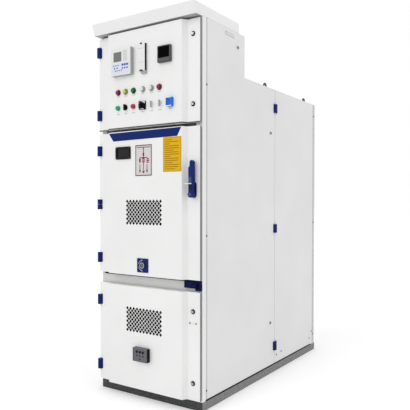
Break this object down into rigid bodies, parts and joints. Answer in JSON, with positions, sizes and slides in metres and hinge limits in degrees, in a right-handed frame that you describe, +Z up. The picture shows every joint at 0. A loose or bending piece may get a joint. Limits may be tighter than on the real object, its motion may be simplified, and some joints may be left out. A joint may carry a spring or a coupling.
{
  "type": "metal-clad switchgear panel",
  "caption": "Free-standing sheet-metal switchgear panel with hinged instrument, breaker and cable doors, punched vents, lever handle, header trough and channel base.",
  "frame": {"origin": "centre of the base's footprint at floor level, the middle of the anchor bolt pattern", "axes": "+X to the right seen from the front, +Y to the rear, +Z up"},
  "size_m": [0.8318, 1.603, 2.3],
  "materials": {
    "door_paint": "fine textured powder coat",
    "body_paint": "fine textured powder coat",
    "bare_steel": "zinc coated sheet",
    "base_paint": "satin grey paint",
    "hinge_blue": "satin navy enamel",
    "handle_blue": "satin",
    "lock_metal": "polished",
    "device_grey": "fine grain",
    "device_white": "fine grain",
    "device_black": "fine grain",
    "device_dark_grey": "fine grain",
    "lamp_lens": "ribbed lens",
    "button_plastic": "smooth",
    "block_blue": "smooth",
    "window_glass": "tinted"
  },
  "bodies": {
    "cabinet": {"base_end_channels": "base_paint", "base_side_channels": "base_paint", "floor_plate": "bare_steel", "front_left_post": "body_paint", "front_right_post": "body_paint", "rear_posts": "bare_steel", "seam_posts": "bare_steel", "left_front_side_panel": "body_paint", "right_front_side_panel": "body_paint", "left_rear_side_panel": "body_paint", "right_rear_side_panel": "body_paint", "rear_lower_cover": "body_paint", "rear_upper_cover": "body_paint", "rear_roof": "body_paint", "instrument_roof": "body_paint", "relief_flaps": "bare_steel", "lifting_lugs": "base_paint", "header_trough": "door_paint", "top_rail": "body_paint", "upper_rail": "body_paint", "band_rail": "body_paint", "sill_rail": "body_paint", "instrument_floor": "bare_steel", "breaker_floor": "bare_steel", "instrument_back_wall": "bare_steel", "breaker_back_wall": "bare_steel", "frame_hinge_knuckles": "hinge_blue", "side_seam_clips": "hinge_blue", "earthing_operator": "handle_blue"},
    "instrument_door": {"instrument_door_panel": "door_paint", "instrument_door_knuckles": "hinge_blue", "instrument_door_locks": "lock_metal", "protection_relay": "device_grey", "display_module": "device_white", "panel_meter": "device_black", "indicator_lamps": "lamp_lens", "push_buttons": "button_plastic", "selector_switches": "device_black", "test_block": "block_blue"},
    "breaker_door": {"breaker_door_panel": "door_paint", "breaker_door_knuckles": "hinge_blue", "viewing_window": "device_black", "window_pane": "window_glass", "racking_port": "handle_blue", "handle_escutcheon": "handle_blue"},
    "breaker_handle": {"door_handle": "handle_blue"},
    "cable_door": {"cable_door_panel": "door_paint", "cable_door_knuckles": "hinge_blue", "cable_door_locks": "lock_metal", "live_indicator": "device_dark_grey"}
  },
  "joints": [
    {"name": "instrument_door_hinge", "type": "hinge", "parent": "cabinet", "child": "instrument_door", "pos_m": [-0.396, -0.781, 1.938], "axis": [0, 0, -1], "range_deg": [0, 120]},
    {"name": "breaker_door_hinge", "type": "hinge", "parent": "cabinet", "child": "breaker_door", "pos_m": [-0.396, -0.781, 1.178], "axis": [0, 0, -1], "range_deg": [0, 120]},
    {"name": "cable_door_hinge", "type": "hinge", "parent": "cabinet", "child": "cable_door", "pos_m": [-0.396, -0.781, 0.365], "axis": [0, 0, -1], "range_deg": [0, 120]},
    {"name": "handle_turn", "type": "hinge", "parent": "breaker_door", "child": "breaker_handle", "pos_m": [0.356, -0.781, 1.234], "axis": [0, 1, 0], "range_deg": [0, 90]}
  ]
}
